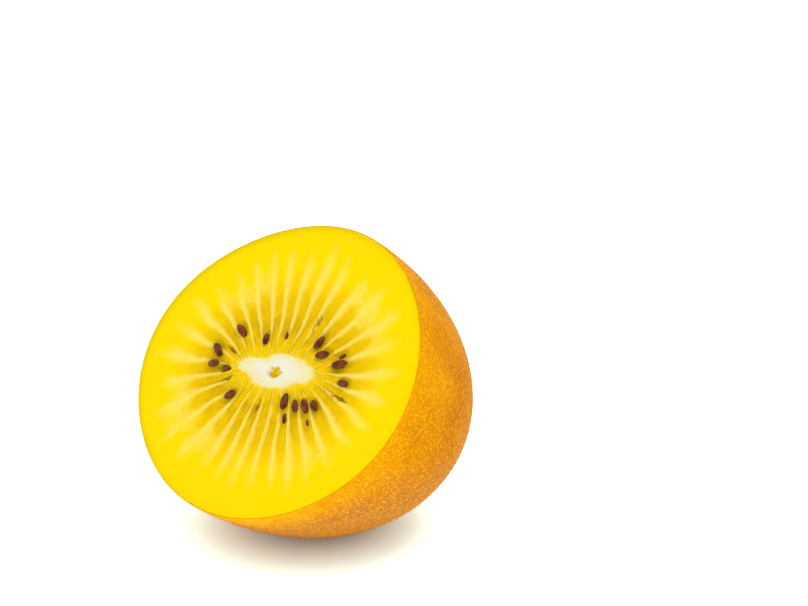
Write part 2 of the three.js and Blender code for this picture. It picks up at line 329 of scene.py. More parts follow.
def makeFleshMaterial():
    # Ripe kiwi flesh, cut with a sharp knife: wet and translucent, so light spreads under the surface. Pale
    # rays widen on their way out from the cream core between deeper yellow, juicier pockets. Past the
    # pockets' round ends the pale tissue spreads in flames, and then gives way to the plain outer flesh.
    look = fleshLook
    made, tree = startMaterial("kiwi flesh, fresh cut")
    at = addNode(tree, "TexCoord", {}, output="Object")
    uv = addNode(tree, "UVMap", {}, uv_map="rays")
    place = addNode(tree, "SeparateXYZ", {0: uv}, output="X")
    cleanOut = addNode(tree, "SeparateXYZ", {0: uv}, output="Y")
    bendNoise = addNode(tree, "TexNoise", {"Vector": at, "Scale": 1 / look["bendSize"], "Detail": 1})
    edgeNoise = addNode(tree, "TexNoise", {"Vector": at, "Scale": 1 / look["edgeSize"], "Detail": 2})
    bend = addNode(tree, "MapRange", {"Value": bendNoise, "To Min": -0.3, "To Max": 0.3})
    frayed = addNode(tree, "MapRange", {"Value": edgeNoise, "To Min": -0.09, "To Max": 0.09})
    bent = addNode(tree, "Math", {0: place, 1: rays["count"], 2: bend}, operation="MULTIPLY_ADD")
    count = addNode(tree, "Math", {0: bent, 1: frayed}, operation="ADD")
    nearest = addNode(tree, "Math", {0: count}, operation="ROUND")
    aside = addNode(tree, "Math", {0: count, 1: nearest}, operation="SUBTRACT")
    offRay = addNode(tree, "Math", {0: aside}, operation="ABSOLUTE")
    rayNumber = addNode(tree, "Math", {0: nearest, 1: rays["count"]}, operation="FLOORED_MODULO")
    gapFloor = addNode(tree, "Math", {0: count}, operation="FLOOR")
    gapNumber = addNode(tree, "Math", {0: gapFloor, 1: rays["count"]}, operation="FLOORED_MODULO")
    gapSeed = addNode(tree, "Math", {0: gapNumber, 1: 50}, operation="ADD")
    rayDraw = addNode(tree, "TexWhiteNoise", {"W": rayNumber}, noise_dimensions="1D")
    gapDraws = addNode(tree, "TexWhiteNoise", {"W": gapSeed}, output="Color", noise_dimensions="1D")
    endDraw = addNode(tree, "SeparateColor", {0: gapDraws}, output="Red")
    farDraw = addNode(tree, "SeparateColor", {0: gapDraws}, output="Green")
    paleDraw = addNode(tree, "SeparateColor", {0: gapDraws}, output="Blue")
    # Noise drawn out along the rays, which also makes what lies far out uneven
    drawnOut = addNode(tree, "Math", {0: cleanOut, 1: 5}, operation="MULTIPLY")
    stretched = addNode(tree, "CombineXYZ", {"X": count, "Y": drawnOut})
    mottle = addNode(tree, "TexNoise", {"Vector": stretched, "Scale": 1.4, "Detail": 4, "Roughness": 0.6})
    streak = addNode(tree, "TexNoise", {"Vector": stretched, "Scale": 4.5, "Detail": 3})
    uneven = addNode(tree, "MapRange", {"Value": mottle, "To Min": -0.14, "To Max": 0.14})
    out = addNode(tree, "Math", {0: cleanOut, 1: uneven}, operation="ADD")
    # Rays: thin and faint by the core, wide and pale further out, with pointed ends
    slim = addNode(tree, "MapRange", {"Value": cleanOut, "From Min": 0.08, "From Max": 0.6,
                                      "To Min": 0.1, "To Max": 0.18})
    drawWide = addNode(tree, "MapRange", {"Value": rayDraw, "To Min": -0.04, "To Max": 0.07})
    flare = addNode(tree, "MapRange", {"Value": out, "From Min": 0.38, "From Max": 0.72},
                    interpolation_type="SMOOTHSTEP")
    halfWide = addNode(tree, "Math", {0: flare, 1: drawWide, 2: slim}, operation="MULTIPLY_ADD")
    edge = addNode(tree, "Math", {0: offRay, 1: halfWide}, operation="DIVIDE")
    onRay = addNode(tree, "MapRange", {"Value": edge, "From Min": 1.9, "From Max": 0.0},
                    interpolation_type="SMOOTHSTEP")
    pointed = addNode(tree, "Math", {0: offRay, 1: 0.3, 2: out}, operation="MULTIPLY_ADD")
    rayEnd = addNode(tree, "MapRange", {"Value": rayDraw, "To Min": 0.74, "To Max": 0.88})
    pastEnd = addNode(tree, "Math", {0: pointed, 1: rayEnd}, operation="SUBTRACT")
    reach = addNode(tree, "MapRange", {"Value": pastEnd, "From Min": 0.02, "From Max": -0.16})
    clear = addNode(tree, "MapRange", {"Value": cleanOut, "From Min": 0.0, "From Max": 0.22,
                                       "To Min": 0.3, "To Max": 0.8})
    wispy = addNode(tree, "MapRange", {"Value": streak, "From Min": 0.32, "From Max": 0.58, "To Min": 0.2})
    farOut = addNode(tree, "MapRange", {"Value": cleanOut, "From Min": 0.5, "From Max": 0.72,
                                        "To Max": 0.75})
    patchy = addNode(tree, "Mix", {"Factor": farOut, "A": 1.0, "B": wispy})
    rayed = addNode(tree, "Math", {0: onRay, 1: reach}, operation="MULTIPLY")
    rayThere = addNode(tree, "Math", {0: rayed, 1: patchy}, operation="MULTIPLY")
    ray = addNode(tree, "Math", {0: rayThere, 1: clear}, operation="MULTIPLY")
    # Flames past the pockets' round ends
    pocketEnd = addNode(tree, "MapRange", {"Value": endDraw, "To Min": 0.44, "To Max": 0.6})
    fromMiddle = addNode(tree, "Math", {0: 0.5, 1: offRay}, operation="SUBTRACT")
    roundness = addNode(tree, "Math", {0: fromMiddle, 1: 2}, operation="POWER")
    roundEnd = addNode(tree, "Math", {0: roundness, 1: -0.8, 2: pocketEnd}, operation="MULTIPLY_ADD")
    pastPocket = addNode(tree, "Math", {0: out, 1: roundEnd}, operation="SUBTRACT")
    flameStart = addNode(tree, "MapRange", {"Value": pastPocket, "From Min": 0.0, "From Max": 0.1})
    flameEnd = addNode(tree, "MapRange", {"Value": farDraw, "To Min": 0.72, "To Max": 0.86})
    pastFlame = addNode(tree, "Math", {0: pointed, 1: flameEnd}, operation="SUBTRACT")
    flameStop = addNode(tree, "MapRange", {"Value": pastFlame, "From Min": 0.05, "From Max": -0.1})
    turn = addNode(tree, "Math", {0: place, 1: look["webs"] * 2 * math.pi,
                                  2: -look["webs"] * look["webTurn"]}, operation="MULTIPLY_ADD")
    webSide = addNode(tree, "Math", {0: turn}, operation="COSINE")
    webDraw = addNode(tree, "Math", {0: webSide, 1: 0.4, 2: paleDraw}, operation="MULTIPLY_ADD")
    flameOn = addNode(tree, "MapRange", {"Value": webDraw, "From Min": 0.25, "From Max": 0.95,
                                         "To Max": 0.7})
    flameSpan = addNode(tree, "Math", {0: flameStart, 1: flameStop}, operation="MULTIPLY")
    flameHere = addNode(tree, "Math", {0: flameSpan, 1: flameOn}, operation="MULTIPLY")
    flame = addNode(tree, "Math", {0: flameHere, 1: wispy}, operation="MULTIPLY")
    pale = addNode(tree, "Math", {0: ray, 1: flame}, operation="MAXIMUM")
    # Pockets: deeper yellow towards the core, golden in the middle and olive along their sides
    pocketOut = addNode(tree, "MapRange", {"Value": out, "From Min": 0.7, "From Max": 0.24},
                        interpolation_type="SMOOTHSTEP")
    pocketIn = addNode(tree, "MapRange", {"Value": cleanOut, "From Min": -0.02, "From Max": 0.16,
                                          "To Min": 0.2})
    inPocket = addNode(tree, "Math", {0: pocketOut, 1: pocketIn}, operation="MULTIPLY")
    pocketed = addNode(tree, "Mix", {0: inPocket, 6: linear(look["outer"]), 7: linear(look["pocket"])},
                       output=2, data_type="RGBA")
    gold = addNode(tree, "MapRange", {"Value": mottle, "From Min": 0.58, "From Max": 0.42, "To Max": 0.7})
    goldHere = addNode(tree, "Math", {0: gold, 1: inPocket}, operation="MULTIPLY")
    gilded = addNode(tree, "Mix", {0: goldHere, 6: pocketed, 7: linear(look["golden"])},
                     output=2, data_type="RGBA")
    beside = addNode(tree, "MapRange", {"Value": offRay, "From Min": 0.36, "From Max": 0.16})
    murky = addNode(tree, "MapRange", {"Value": mottle, "From Min": 0.4, "From Max": 0.62})
    nearCore = addNode(tree, "MapRange", {"Value": out, "From Min": 0.5, "From Max": 0.2, "To Max": 0.6})
    oliveSide = addNode(tree, "Math", {0: beside, 1: murky}, operation="MULTIPLY")
    fineLine = addNode(tree, "MapRange", {"Value": streak, "From Min": 0.5, "From Max": 0.32,
                                          "To Max": 0.5})
    oliveLine = addNode(tree, "Math", {0: oliveSide, 1: fineLine}, operation="MAXIMUM")
    oliveHere = addNode(tree, "Math", {0: oliveLine, 1: nearCore}, operation="MULTIPLY")
    shaded = addNode(tree, "Mix", {0: oliveHere, 6: gilded, 7: linear(look["olive"])},
                     output=2, data_type="RGBA")
    rayColoured = addNode(tree, "Mix", {0: pale, 6: shaded, 7: linear(look["ray"])},
                          output=2, data_type="RGBA")
    # Where seeds sit and where pockets lie open
    bed = addNode(tree, "Attribute", {}, output="Fac", attribute_name="seedBed")
    bedShade = addNode(tree, "Math", {0: bed, 1: 0.25}, operation="MULTIPLY")
    bedded = addNode(tree, "Mix", {0: bedShade, 6: rayColoured, 7: linear(look["olive"])},
                     output=2, data_type="RGBA")
    slit = addNode(tree, "Attribute", {}, output="Fac", attribute_name="openPocket")
    slitShade = addNode(tree, "MapRange", {"Value": slit, "To Max": 0.7})
    opened = addNode(tree, "Mix", {0: slitShade, 6: bedded, 7: linear(look["slit"])},
                     output=2, data_type="RGBA")
    # The core, cream in the middle, with a soft edge drawn out along the rays
    fromCore = addNode(tree, "Attribute", {}, output="Fac", attribute_name="fromCore")
    softEdge = addNode(tree, "MapRange", {"Value": edgeNoise, "To Min": -0.12, "To Max": 0.12})
    toothed = addNode(tree, "Math", {0: onRay, 1: -0.06, 2: softEdge}, operation="MULTIPLY_ADD")
    coreEdge = addNode(tree, "Math", {0: fromCore, 1: toothed}, operation="ADD")
    inCore = addNode(tree, "MapRange", {"Value": coreEdge, "From Min": 0.06, "From Max": -0.12},
                     interpolation_type="SMOOTHSTEP")
    deepCore = addNode(tree, "MapRange", {"Value": coreEdge, "From Min": -0.05, "From Max": -0.5})
    cream = addNode(tree, "Mix", {0: deepCore, 6: linear(look["coreEdge"]), 7: linear(look["core"])},
                    output=2, data_type="RGBA")
    cored = addNode(tree, "Mix", {0: inCore, 6: opened, 7: cream}, output=2, data_type="RGBA")
    inPit = addNode(tree, "Attribute", {}, output="Fac", attribute_name="pit")
    pitBlend = addNode(tree, "MapRange", {"Value": edgeNoise, "From Min": 0.4, "From Max": 0.55})
    pitColour = addNode(tree, "Mix", {0: pitBlend, 6: linear(look["pit"]), 7: linear(look["pitMiddle"])},
                        output=2, data_type="RGBA")
    pitted = addNode(tree, "Mix", {0: inPit, 6: cored, 7: pitColour}, output=2, data_type="RGBA")
    # A deeper rim under the skin, strongest on one side of the cut
    atRim = addNode(tree, "MapRange", {"Value": cleanOut, "From Min": 0.92, "From Max": 1.0},
                    interpolation_type="SMOOTHSTEP")
    rimTurn = addNode(tree, "Math", {0: place, 1: 2 * math.pi, 2: -look["rimTurn"]},
                      operation="MULTIPLY_ADD")
    rimSide = addNode(tree, "Math", {0: rimTurn}, operation="COSINE")
    rimShare = addNode(tree, "MapRange", {"Value": rimSide, "From Min": -1.0, "To Min": 0.1})
    rimHere = addNode(tree, "Math", {0: atRim, 1: rimShare}, operation="MULTIPLY")
    colour = addNode(tree, "Mix", {0: rimHere, 6: pitted, 7: linear(look["rim"])},
                     output=2, data_type="RGBA")
    fibre = addNode(tree, "TexNoise", {"Vector": at, "Scale": 1 / look["fibreSize"], "Detail": 2})
    height = addNode(tree, "Math", {0: streak, 1: 0.7, 2: fibre}, operation="MULTIPLY_ADD")
    bump = addNode(tree, "Bump", {"Height": height, "Strength": 0.35, "Distance": look["fibreRelief"]})
    rough = addNode(tree, "MapRange", {"Value": inPocket, "To Min": 0.42, "To Max": 0.26})
    endMaterial(tree, {"Base Color": colour, "Roughness": rough, "IOR": 1.35, "Specular IOR Level": 0.03,
                       "Subsurface Weight": 0.3, "Subsurface Radius": (1.0, 0.7, 0.2),
                       "Subsurface Scale": 0.5 * mm, "Normal": bump})
    return made


seedLook = {"shell": "#4c1a04", "worn": "#84401a", "wearSize": 0.9 * mm, "pitSize": 0.15 * mm}


def makeSeedMaterial():
    # Kiwi seed: a hard, finely pitted shell, wet from the flesh, so it is dark with a small clear shine
    made, tree = startMaterial("kiwi seed shell, wet")
    at = addNode(tree, "TexCoord", {}, output="Object")
    worn = addNode(tree, "TexNoise", {"Vector": at, "Scale": 1 / seedLook["wearSize"], "Detail": 4})
    pits = addNode(tree, "TexNoise", {"Vector": at, "Scale": 1 / seedLook["pitSize"], "Detail": 1})
    blend = addNode(tree, "MapRange", {"Value": worn, "From Min": 0.35, "From Max": 0.7})
    colour = addNode(tree, "Mix", {0: blend, 6: linear(seedLook["shell"]), 7: linear(seedLook["worn"])},
                     output=2, data_type="RGBA")
    bump = addNode(tree, "Bump", {"Height": pits, "Strength": 0.3, "Distance": 0.03 * mm})
    endMaterial(tree, {"Base Color": colour, "Roughness": 0.3, "IOR": 1.5, "Specular IOR Level": 0.15,
                       "Normal": bump})
    return made


stubLook = {"bark": "#5e3a1a", "dry": "#bd915a", "fibreSize": 0.3 * mm}


def makeStubMaterial():
    # Dead stalk tissue: dry, matt and fibrous, straw-brown with darker cracks
    made, tree = startMaterial("dry kiwi stalk")
    at = addNode(tree, "TexCoord", {}, output="Object")
    fibre = addNode(tree, "TexNoise", {"Vector": at, "Scale": 1 / stubLook["fibreSize"], "Detail": 4})
    blend = addNode(tree, "MapRange", {"Value": fibre, "From Min": 0.35, "From Max": 0.65})
    colour = addNode(tree, "Mix", {0: blend, 6: linear(stubLook["bark"]), 7: linear(stubLook["dry"])},
                     output=2, data_type="RGBA")
    bump = addNode(tree, "Bump", {"Height": fibre, "Strength": 0.7, "Distance": 0.08 * mm})
    endMaterial(tree, {"Base Color": colour, "Roughness": 0.85, "Specular IOR Level": 0.2, "Normal": bump})
    return made


downLook = {"root": "#b87404", "tip": "#dc9614"}


def makeDownMaterial():
    # Kiwi down: dry, hollow plant hairs, paler towards their tips
    made, tree = startMaterial("kiwi down")
    along = addNode(tree, "Attribute", {}, output="Fac", attribute_name="along")
    colour = addNode(tree, "Mix", {0: along, 6: linear(downLook["root"]), 7: linear(downLook["tip"])},
                     output=2, data_type="RGBA")
    endMaterial(tree, {"Base Color": colour, "Roughness": 0.6, "Specular IOR Level": 0.05})
    return made


# Skin

skin = {
    "columns": 372,
    "rings": 220,
    "cutAt": -0.004,  # on a ball of radius 1, a little under its middle ring
    "thick": 0.28 * mm,
    "lump": 0.12 * mm,
    "lumpSize": 9 * mm,
}
scar = {
    "radius": 2.7 * mm,
    "rise": 0.35 * mm,
    "rimWidth": 0.3,  # of the radius
    "bowl": 0.6 * mm,
    "bowlWidth": 0.85,
    "ragged": 0.25,  # of the brown's edge, as a share of the radius
    "raggedSize": 1.1 * mm,
}


def scarHeight(fromAxis):
    # A low rim round a shallow bowl at the closed end
    fromRim = (fromAxis - scar["radius"]) / (scar["rimWidth"] * scar["radius"])
    inBowl = 1 - smoothstep(fromAxis, 0, scar["bowlWidth"] * scar["radius"])
    return scar["rise"] * np.exp(-fromRim ** 2) - scar["bowl"] * inBowl


def makeSkin():
    deselectAll()
    bpy.ops.mesh.primitive_uv_sphere_add(segments=skin["columns"], ring_count=skin["rings"], radius=1)
    piece = bpy.context.object
    piece.name = "skin"
    editMode(True)
    bpy.ops.mesh.select_all(action="SELECT")
    bpy.ops.mesh.bisect(plane_co=(0, 0, skin["cutAt"]), plane_no=(0, 0, 1), clear_outer=True)
    editMode(False)
    mesh = piece.data
    ball = readPoints(mesh)
    width = np.hypot(ball[:, 0], ball[:, 1])
    angle = np.arctan2(ball[:, 1], ball[:, 0])
    onRing = np.clip(1 - width ** 2, 0, 1) ** (1 / fruit["fullness"])
    share = np.where(ball[:, 2] > 1.25 * skin["cutAt"], 0, onRing)
    points = outline(angle, share)
    fromAxis = np.hypot(points[:, 0], points[:, 1])
    lump = skin["lump"] * noiseAt(points, skin["lumpSize"]) * smoothstep(share, 0, 0.08)
    points *= (1 + lump / np.linalg.norm(points, axis=1))[:, None]
    points[:, 2] -= scarHeight(fromAxis) * (share > 0.5)
    writePoints(mesh, points)
    writeAttribute(mesh, "fromCut", share)
    rough = scar["ragged"] * noiseAt(points, scar["raggedSize"])
    brown = 1 - smoothstep(fromAxis / scar["radius"] + rough, 0.75, 1.25)
    writeAttribute(mesh, "scar", brown * (share > 0.5))
    mesh.transform(lying)
    points = readPoints(mesh)
    points[:, 2] = np.maximum(points[:, 2], 0)  # pressed flat where it lies
    writePoints(mesh, points)
    wall = piece.modifiers.new("wall", "SOLIDIFY")
    wall.thickness = skin["thick"]
    wall.offset = -1
    applyModifiers(piece)
    smoothShade(piece, 50)
    return piece


# Seeds

# Each seed lies in the gap after a ray, at a share of the way out from the core, with its size as a
# share, its turn off the gap's line in degrees, and the height of its middle above the face in mm
seedPlaces = [
    (0.3, 0.22, 1.1, 0, 0.12),
    (1, 0.25, 0.65, 0, -0.52),
    (2, 0.11, 0.95, -25, 0.12),
    (3.2, 0.17, 0.95, 10, 0.1),
    (6.6, 0.15, 0.65, 0, -0.26),
    (9, 0.13, 0.8, -10, 0),
    (11.2, 0.275, 1.0, 8, 0.1),
    (13.45, 0.28, 1.05, -26, 0.12),
    (14.6, 0.25, 1.0, 5, 0.12),
    (14.8, 0.11, 0.7, 0, -0.24),
    (18, 0.17, 0.95, -20, 0.1),
    (24, 0.11, 1.1, -10, 0.12),
    (24, 0.235, 0.75, 0, -0.42),
    (25.25, 0.16, 0.9, 0, 0.05),
    (26.2, 0.19, 1.0, -6, 0.1),
    (26, 0.33, 0.7, 0, -0.52),
    (26.95, 0.22, 0.95, 0, 0.05),
    (29.8, 0.285, 0.9, 0, 0.05),
]
seed = {
    "long": 2.5 * mm,
    "wide": 1.75 * mm,
    "thick": 1.3 * mm,
    "tilt": 12,  # degrees at most, up or down along its length
    "segments": 24,
    "rings": 16,
    "taper": [(-0.2, 0.03), (-0.36, 0.04), (-0.46, 0.06)],  # below this height, drawn out this far
    "taperSize": 0.9,
}
# Gaps that lie open with no seed: gap, share of the way out, and length and width in mm
openPockets = [
    (4.4, 0.28, 2.0, 0.3),
    (16.3, 0.1, 1.6, 0.4),
    (28.7, 0.31, 2.0, 0.35),
    (21, 0.14, 1.6, 0.4),
    (12.8, 0.17, 1.6, 0.4),
    (14.9, 0.13, 1.8, 0.7),
]


def gapFrame(gap, out, turn=0):
    # Middle of a place in a gap, and the direction along it
    here, inner, outer = (facePoint(np.array([gap + 0.5]), np.array([o]))[0] for o in (out, 0.0, 1.0))
    along = math.atan2(*(outer - inner)[1::-1]) + math.radians(turn)
    return here, np.array([math.cos(along), math.sin(along)])


def makeSeedShape():
    # A flattened drop along X, its pointed end towards the core
    deselectAll()
    bpy.ops.mesh.primitive_uv_sphere_add(segments=seed["segments"], ring_count=seed["rings"], radius=0.5)
    piece = bpy.context.object
    narrower = (seed["taperSize"], seed["taperSize"], 1)
    for reach, pull in seed["taper"]:
        for vertex in piece.data.vertices:
            vertex.select = vertex.co.z < reach
        editMode(True)
        bpy.ops.mesh.select_mode(type="VERT")
        bpy.ops.transform.translate(value=(0, 0, -pull))
        bpy.ops.transform.resize(value=narrower, center_override=(0, 0, 0))
        editMode(False)
    editMode(True)
    bpy.ops.mesh.select_all(action="SELECT")
    bpy.ops.mesh.vertices_smooth(factor=0.5, repeat=2)
    bpy.ops.transform.resize(value=(seed["thick"], seed["wide"], seed["long"]), center_override=(0, 0, 0))
    editMode(False)
    piece.data.transform(Matrix.Rotation(math.radians(90), 4, "Y"))
    return piece


def makeSeeds(material):
    shape = makeSeedShape()
    seeds = []
    draws = random.Random(5)
    for number, (gap, out, size, turn, height) in enumerate(seedPlaces, 1):
        here, along = gapFrame(gap, out, turn)
        piece = bpy.data.objects.new(f"seed_{number:02d}", shape.data.copy())
        bpy.context.collection.objects.link(piece)
        tilt = Matrix.Rotation(math.radians(draws.uniform(-seed["tilt"], seed["tilt"])), 4, "Y")
        place = Matrix.Translation((here[0], here[1], height * mm))
        turned = Matrix.Rotation(math.atan2(along[1], along[0]), 4, "Z")
        piece.data.transform(lying @ place @ turned @ tilt @ Matrix.Scale(size, 4))
        piece.data.materials.append(material)
        smoothShade(piece, 60)
        seeds.append(piece)
    bpy.data.objects.remove(shape)
    return seeds


# Flesh

flesh = {
    "columns": 31 * 18,
    "faceRings": 76,
    "coreRings": 18,
    "underRings": 16,
    "inset": 0.14 * mm,  # so the flesh reaches into the skin's wall with no gap
    "proud": 0.03 * mm,  # of the skin's edge
    "groove": 0.24 * mm,
    "grooveDraw": 0.25,  # share by which one groove is deeper than another
    "ridge": 0.17,  # a ray's width, as a share of the way to the next
    "coreRise": 0.12 * mm,
    "rimDrop": 0.03 * mm,
    "waveSize": 4 * mm,
    "wave": 0.05 * mm,
    "grainSize": 0.8 * mm,
    "grain": 0.03 * mm,
    "seedBed": 0.12 * mm,  # depths of a seed's bed and of an open pocket
    "openPocket": 0.45 * mm,
    "raggedSize": 0.7 * mm,
    "ragged": 0.35 * mm,  # edge of a pocket
}
pit = {"x": -0.2 * mm, "y": -0.3 * mm, "long": 1.0 * mm, "short": 0.68 * mm, "deep": 0.4 * mm}
coreNotches = [(41, 28, 0.12), (119, 14, 0.28), (211, 25, 0.23), (309, 14, 0.17), (352, 25, 0.06)]
coreRadius = 0.3  # of the plain disc that the cut face is drawn on


def growRings(count, shrink):
    # The selected ring is drawn out again and again, each time a little smaller
    for i in range(count):
        bpy.ops.mesh.extrude_region()
        size = shrink(i)
        bpy.ops.transform.resize(value=(size, size, 1), center_override=(0, 0, 0))


def makeFleshTopology():
    deselectAll()
    bpy.ops.mesh.primitive_circle_add(vertices=flesh["columns"], radius=1, fill_type="NOTHING")
    piece = bpy.context.object
    piece.name = "flesh"
    faceRings, coreRings = flesh["faceRings"], flesh["coreRings"]
    radii = [1 - (1 - coreRadius) * i / faceRings for i in range(faceRings + 1)]
    radii += [coreRadius * (1 - (i + 1) / coreRings) for i in range(coreRings - 1)]
    editMode(True)
    bpy.ops.mesh.select_mode(type="VERT")
    bpy.ops.mesh.select_all(action="SELECT")
    growRings(len(radii) - 1, lambda i: radii[i + 1] / radii[i])
    bpy.ops.mesh.merge(type="CENTER")
    editMode(False)
    for vertex in piece.data.vertices:
        vertex.select = vertex.co.xy.length > 0.9999
    editMode(True)
    for _ in range(flesh["underRings"]):
        bpy.ops.mesh.extrude_region()
        bpy.ops.transform.translate(value=(0, 0, -1 / flesh["underRings"]))
    bpy.ops.mesh.merge(type="CENTER")
    bpy.ops.mesh.select_all(action="SELECT")
    bpy.ops.mesh.normals_make_consistent(inside=False)
    editMode(False)
    return piece


def spotMasks(points, spots, soft):
    # 1 inside any of the oval spots, fading to 0 over the soft share of its size
    mask = np.zeros(len(points))
    for here, along, length, width in spots:
        away = points[:, :2] - here[:2]
        x = away @ along / (length / 2)
        y = (away[:, 1] * along[0] - away[:, 0] * along[1]) / (width / 2)
        mask = np.maximum(mask, 1 - smoothstep(np.hypot(x, y), 1, 1 + soft))
    return mask


def faceRelief(place, out, points, beds, slits, inPit):
    # Height of the cut face: pockets sunk between narrow rays, and a core that stands a little proud
    offRay = np.abs(place - np.round(place))
    along = smoothstep(out, 0.02, 0.2) * (1 - smoothstep(out, 0.45, 0.86))
    across = 1 - np.exp(-(offRay / flesh["ridge"]) ** 2)
    gapDraw = np.sin(12.9 * np.floor(place % rays["count"]) + 1.3)  # each gap's own, from -1 to 1
    height = -flesh["groove"] * (1 + flesh["grooveDraw"] * gapDraw) * along * across
    height += flesh["coreRise"] * (1 - smoothstep(out, -0.1, 0.12))
    height += flesh["rimDrop"] * smoothstep(1 - out, 0, 0.05)
    height += flesh["wave"] * noiseAt(points, flesh["waveSize"])
    height += flesh["grain"] * noiseAt(points, flesh["grainSize"])
    height -= flesh["seedBed"] * beds + flesh["openPocket"] * slits + pit["deep"] * inPit
    return height


def fromLens(place, out):
    # Below 0 in the core's cream, which gives way to the flesh in a few places inside its oval
    angle = rayToAngle(place)
    edge = out + 0.03
    for turn, width, depth in coreNotches:  # in degrees, degrees and shares of the way to the middle
        away = (angle - math.radians(turn) + math.pi) % (2 * math.pi) - math.pi
        edge += depth * np.exp(-(away / math.radians(width)) ** 2)
    return edge


def makeFlesh():
    piece = makeFleshTopology()
    mesh = piece.data
    disc = readPoints(mesh)
    radius = np.hypot(disc[:, 0], disc[:, 1])
    place = np.arctan2(disc[:, 1], disc[:, 0]) / (2 * math.pi) * rays["count"] % rays["count"]
    out = np.where(radius > coreRadius, (radius - coreRadius) / (1 - coreRadius), radius / coreRadius - 1)
    under = disc[:, 2] < -1e-5
    points = facePoint(place, np.clip(out, -1, 1))
    beds = [(*gapFrame(gap, o, turn), 1.1 * size * seed["long"], 1.1 * size * seed["wide"])
            for gap, o, size, turn, height in seedPlaces]
    slits = [(*gapFrame(gap, o), length * mm, width * mm) for gap, o, length, width in openPockets]
    pits = [((pit["x"], pit["y"]), np.array([1.0, 0.0]), 2 * pit["long"], 2 * pit["short"])]
    shiftX = noiseAt(points + 5, flesh["raggedSize"])
    shiftY = noiseAt(points - 5, flesh["raggedSize"])
    ragged = points + flesh["ragged"] * np.stack([shiftX, shiftY, np.zeros(len(points))], -1)
    bedMask = spotMasks(points, beds, 0.6) * ~under
    slitMask = spotMasks(ragged, slits, 0.9) * ~under
    pitMask = spotMasks(ragged, pits, 0.4) * ~under
    points[:, 2] = faceRelief(place, out, points, bedMask, slitMask, pitMask) + flesh["proud"]
    below = outline(rayToAngle(place), np.clip(-disc[:, 2], 0, 1))
    below[:, 2] -= 1e-5 + scarHeight(np.hypot(below[:, 0], below[:, 1])) * (disc[:, 2] < -0.5)
    points[under] = below[under]
    inset = 1 - flesh["inset"] / fruit["shortHalf"]
    points[:, :2] *= inset
    points[under, 2] *= inset
    writePoints(mesh, points)
    writeAttribute(mesh, "seedBed", bedMask)
    writeAttribute(mesh, "openPocket", slitMask)
    writeAttribute(mesh, "pit", pitMask)
    writeAttribute(mesh, "fromCore", np.where(under, 1, fromLens(place, out)))
    writeRayMap(mesh, place, out, under)
    mesh.transform(lying)
    points = readPoints(mesh)
    points[:, 2] = np.maximum(points[:, 2], flesh["inset"])
    writePoints(mesh, points)
    smoothShade(piece, 70)
    return piece


def writeRayMap(mesh, place, out, under):
    # UV map: across, the rays counted round; up, -1 at the core's middle, 0 at its edge, 1 at the skin
    corners = np.empty(len(mesh.loops), np.int32)
    mesh.loops.foreach_get("vertex_index", corners)
    starts = np.empty(len(mesh.polygons), np.int32)
    mesh.polygons.foreach_get("loop_start", starts)
    face = np.repeat(np.arange(len(starts)), np.diff(np.append(starts, len(corners))))
    across = place[corners]
    first = across[starts][face]
    across = np.where(across - first > rays["count"] / 2, across - rays["count"], across)
    across = np.where(across - first < -rays["count"] / 2, across + rays["count"], across)
    up = np.where(under, 1.0, out)[corners]
    made = mesh.uv_layers.new(name="rays")
    made.data.foreach_set("uv", np.stack([across / rays["count"], up], -1).astype(np.float32).ravel())


# What is left of the stalk, in the scar at the closed end

stub = {
    "radius": 1.55 * mm,
    "tall": 1.1 * mm,
    "brokenEnd": [(0.25, 0.12), (0.4, -0.05), (0.35, -0.3), (0.3, 0.08)],  # insets: width, height in mm
    "middle": 32.45 * mm,  # below the cut face
    "points": 7,  # stiff dry remnants that stand round it
    "pointRing": 1.75 * mm,
    "pointLong": 1.7 * mm,
    "pointThick": 0.22 * mm,
    "pointTip": 0.04 * mm,
    "pointSink": 0.25 * mm,  # of its middle from the stump's
    "pointBend": 0.12 * mm,
    "pointLean": math.radians(28),
}


def addStub():
    # A short woody stump whose broken end is sunk in the middle
    deselectAll()
    bpy.ops.mesh.primitive_cylinder_add(vertices=28, radius=stub["radius"], depth=stub["tall"])
    piece = bpy.context.object
    for face in piece.data.polygons:
        face.select = face.normal.z < -0.5
    editMode(True)
    bpy.ops.mesh.select_mode(type="FACE")
    for width, height in stub["brokenEnd"]:
        bpy.ops.mesh.inset(thickness=width * mm, depth=height * mm)
    editMode(False)
    smooth = piece.modifiers.new("smooth", "SUBSURF")
    smooth.levels = smooth.render_levels = 2
    applyModifiers(piece)
    points = readPoints(piece.data)
    fromAxis = np.hypot(points[:, 0], points[:, 1])
    angle = np.arctan2(points[:, 1], points[:, 0])
    fluted = 0.06 * np.sin(5 * angle + 1) + 0.05 * np.sin(11 * angle)
    uneven = 1 + fluted + 0.12 * noiseAt(points, 0.5 * mm)
    points[:, :2] *= uneven[:, None]
    points[:, 2] += 0.12 * mm * noiseAt(points + 3, 0.45 * mm) * (fromAxis < 0.95 * stub["radius"])
    writePoints(piece.data, points)
    return piece


def addPoint(angle, long):
    # One remnant: a thin spike, bent a little outwards at its tip
    deselectAll()
    bpy.ops.mesh.primitive_cone_add(vertices=7, radius1=stub["pointThick"], radius2=stub["pointTip"],
                                    depth=long)
    piece = bpy.context.object
    for vertex in piece.data.vertices:
        vertex.select = vertex.co.z > 0
    editMode(True)
    bpy.ops.mesh.select_mode(type="VERT")
    bpy.ops.transform.translate(value=(stub["pointBend"], 0, 0))
    editMode(False)
    stand = Matrix.Rotation(math.pi, 4, "X") @ Matrix.Rotation(stub["pointLean"], 4, "Y")
    onRing = Matrix.Translation((stub["pointRing"], 0, -stub["pointSink"]))
    piece.data.transform(Matrix.Rotation(angle, 4, "Z") @ onRing @ stand)
    return piece


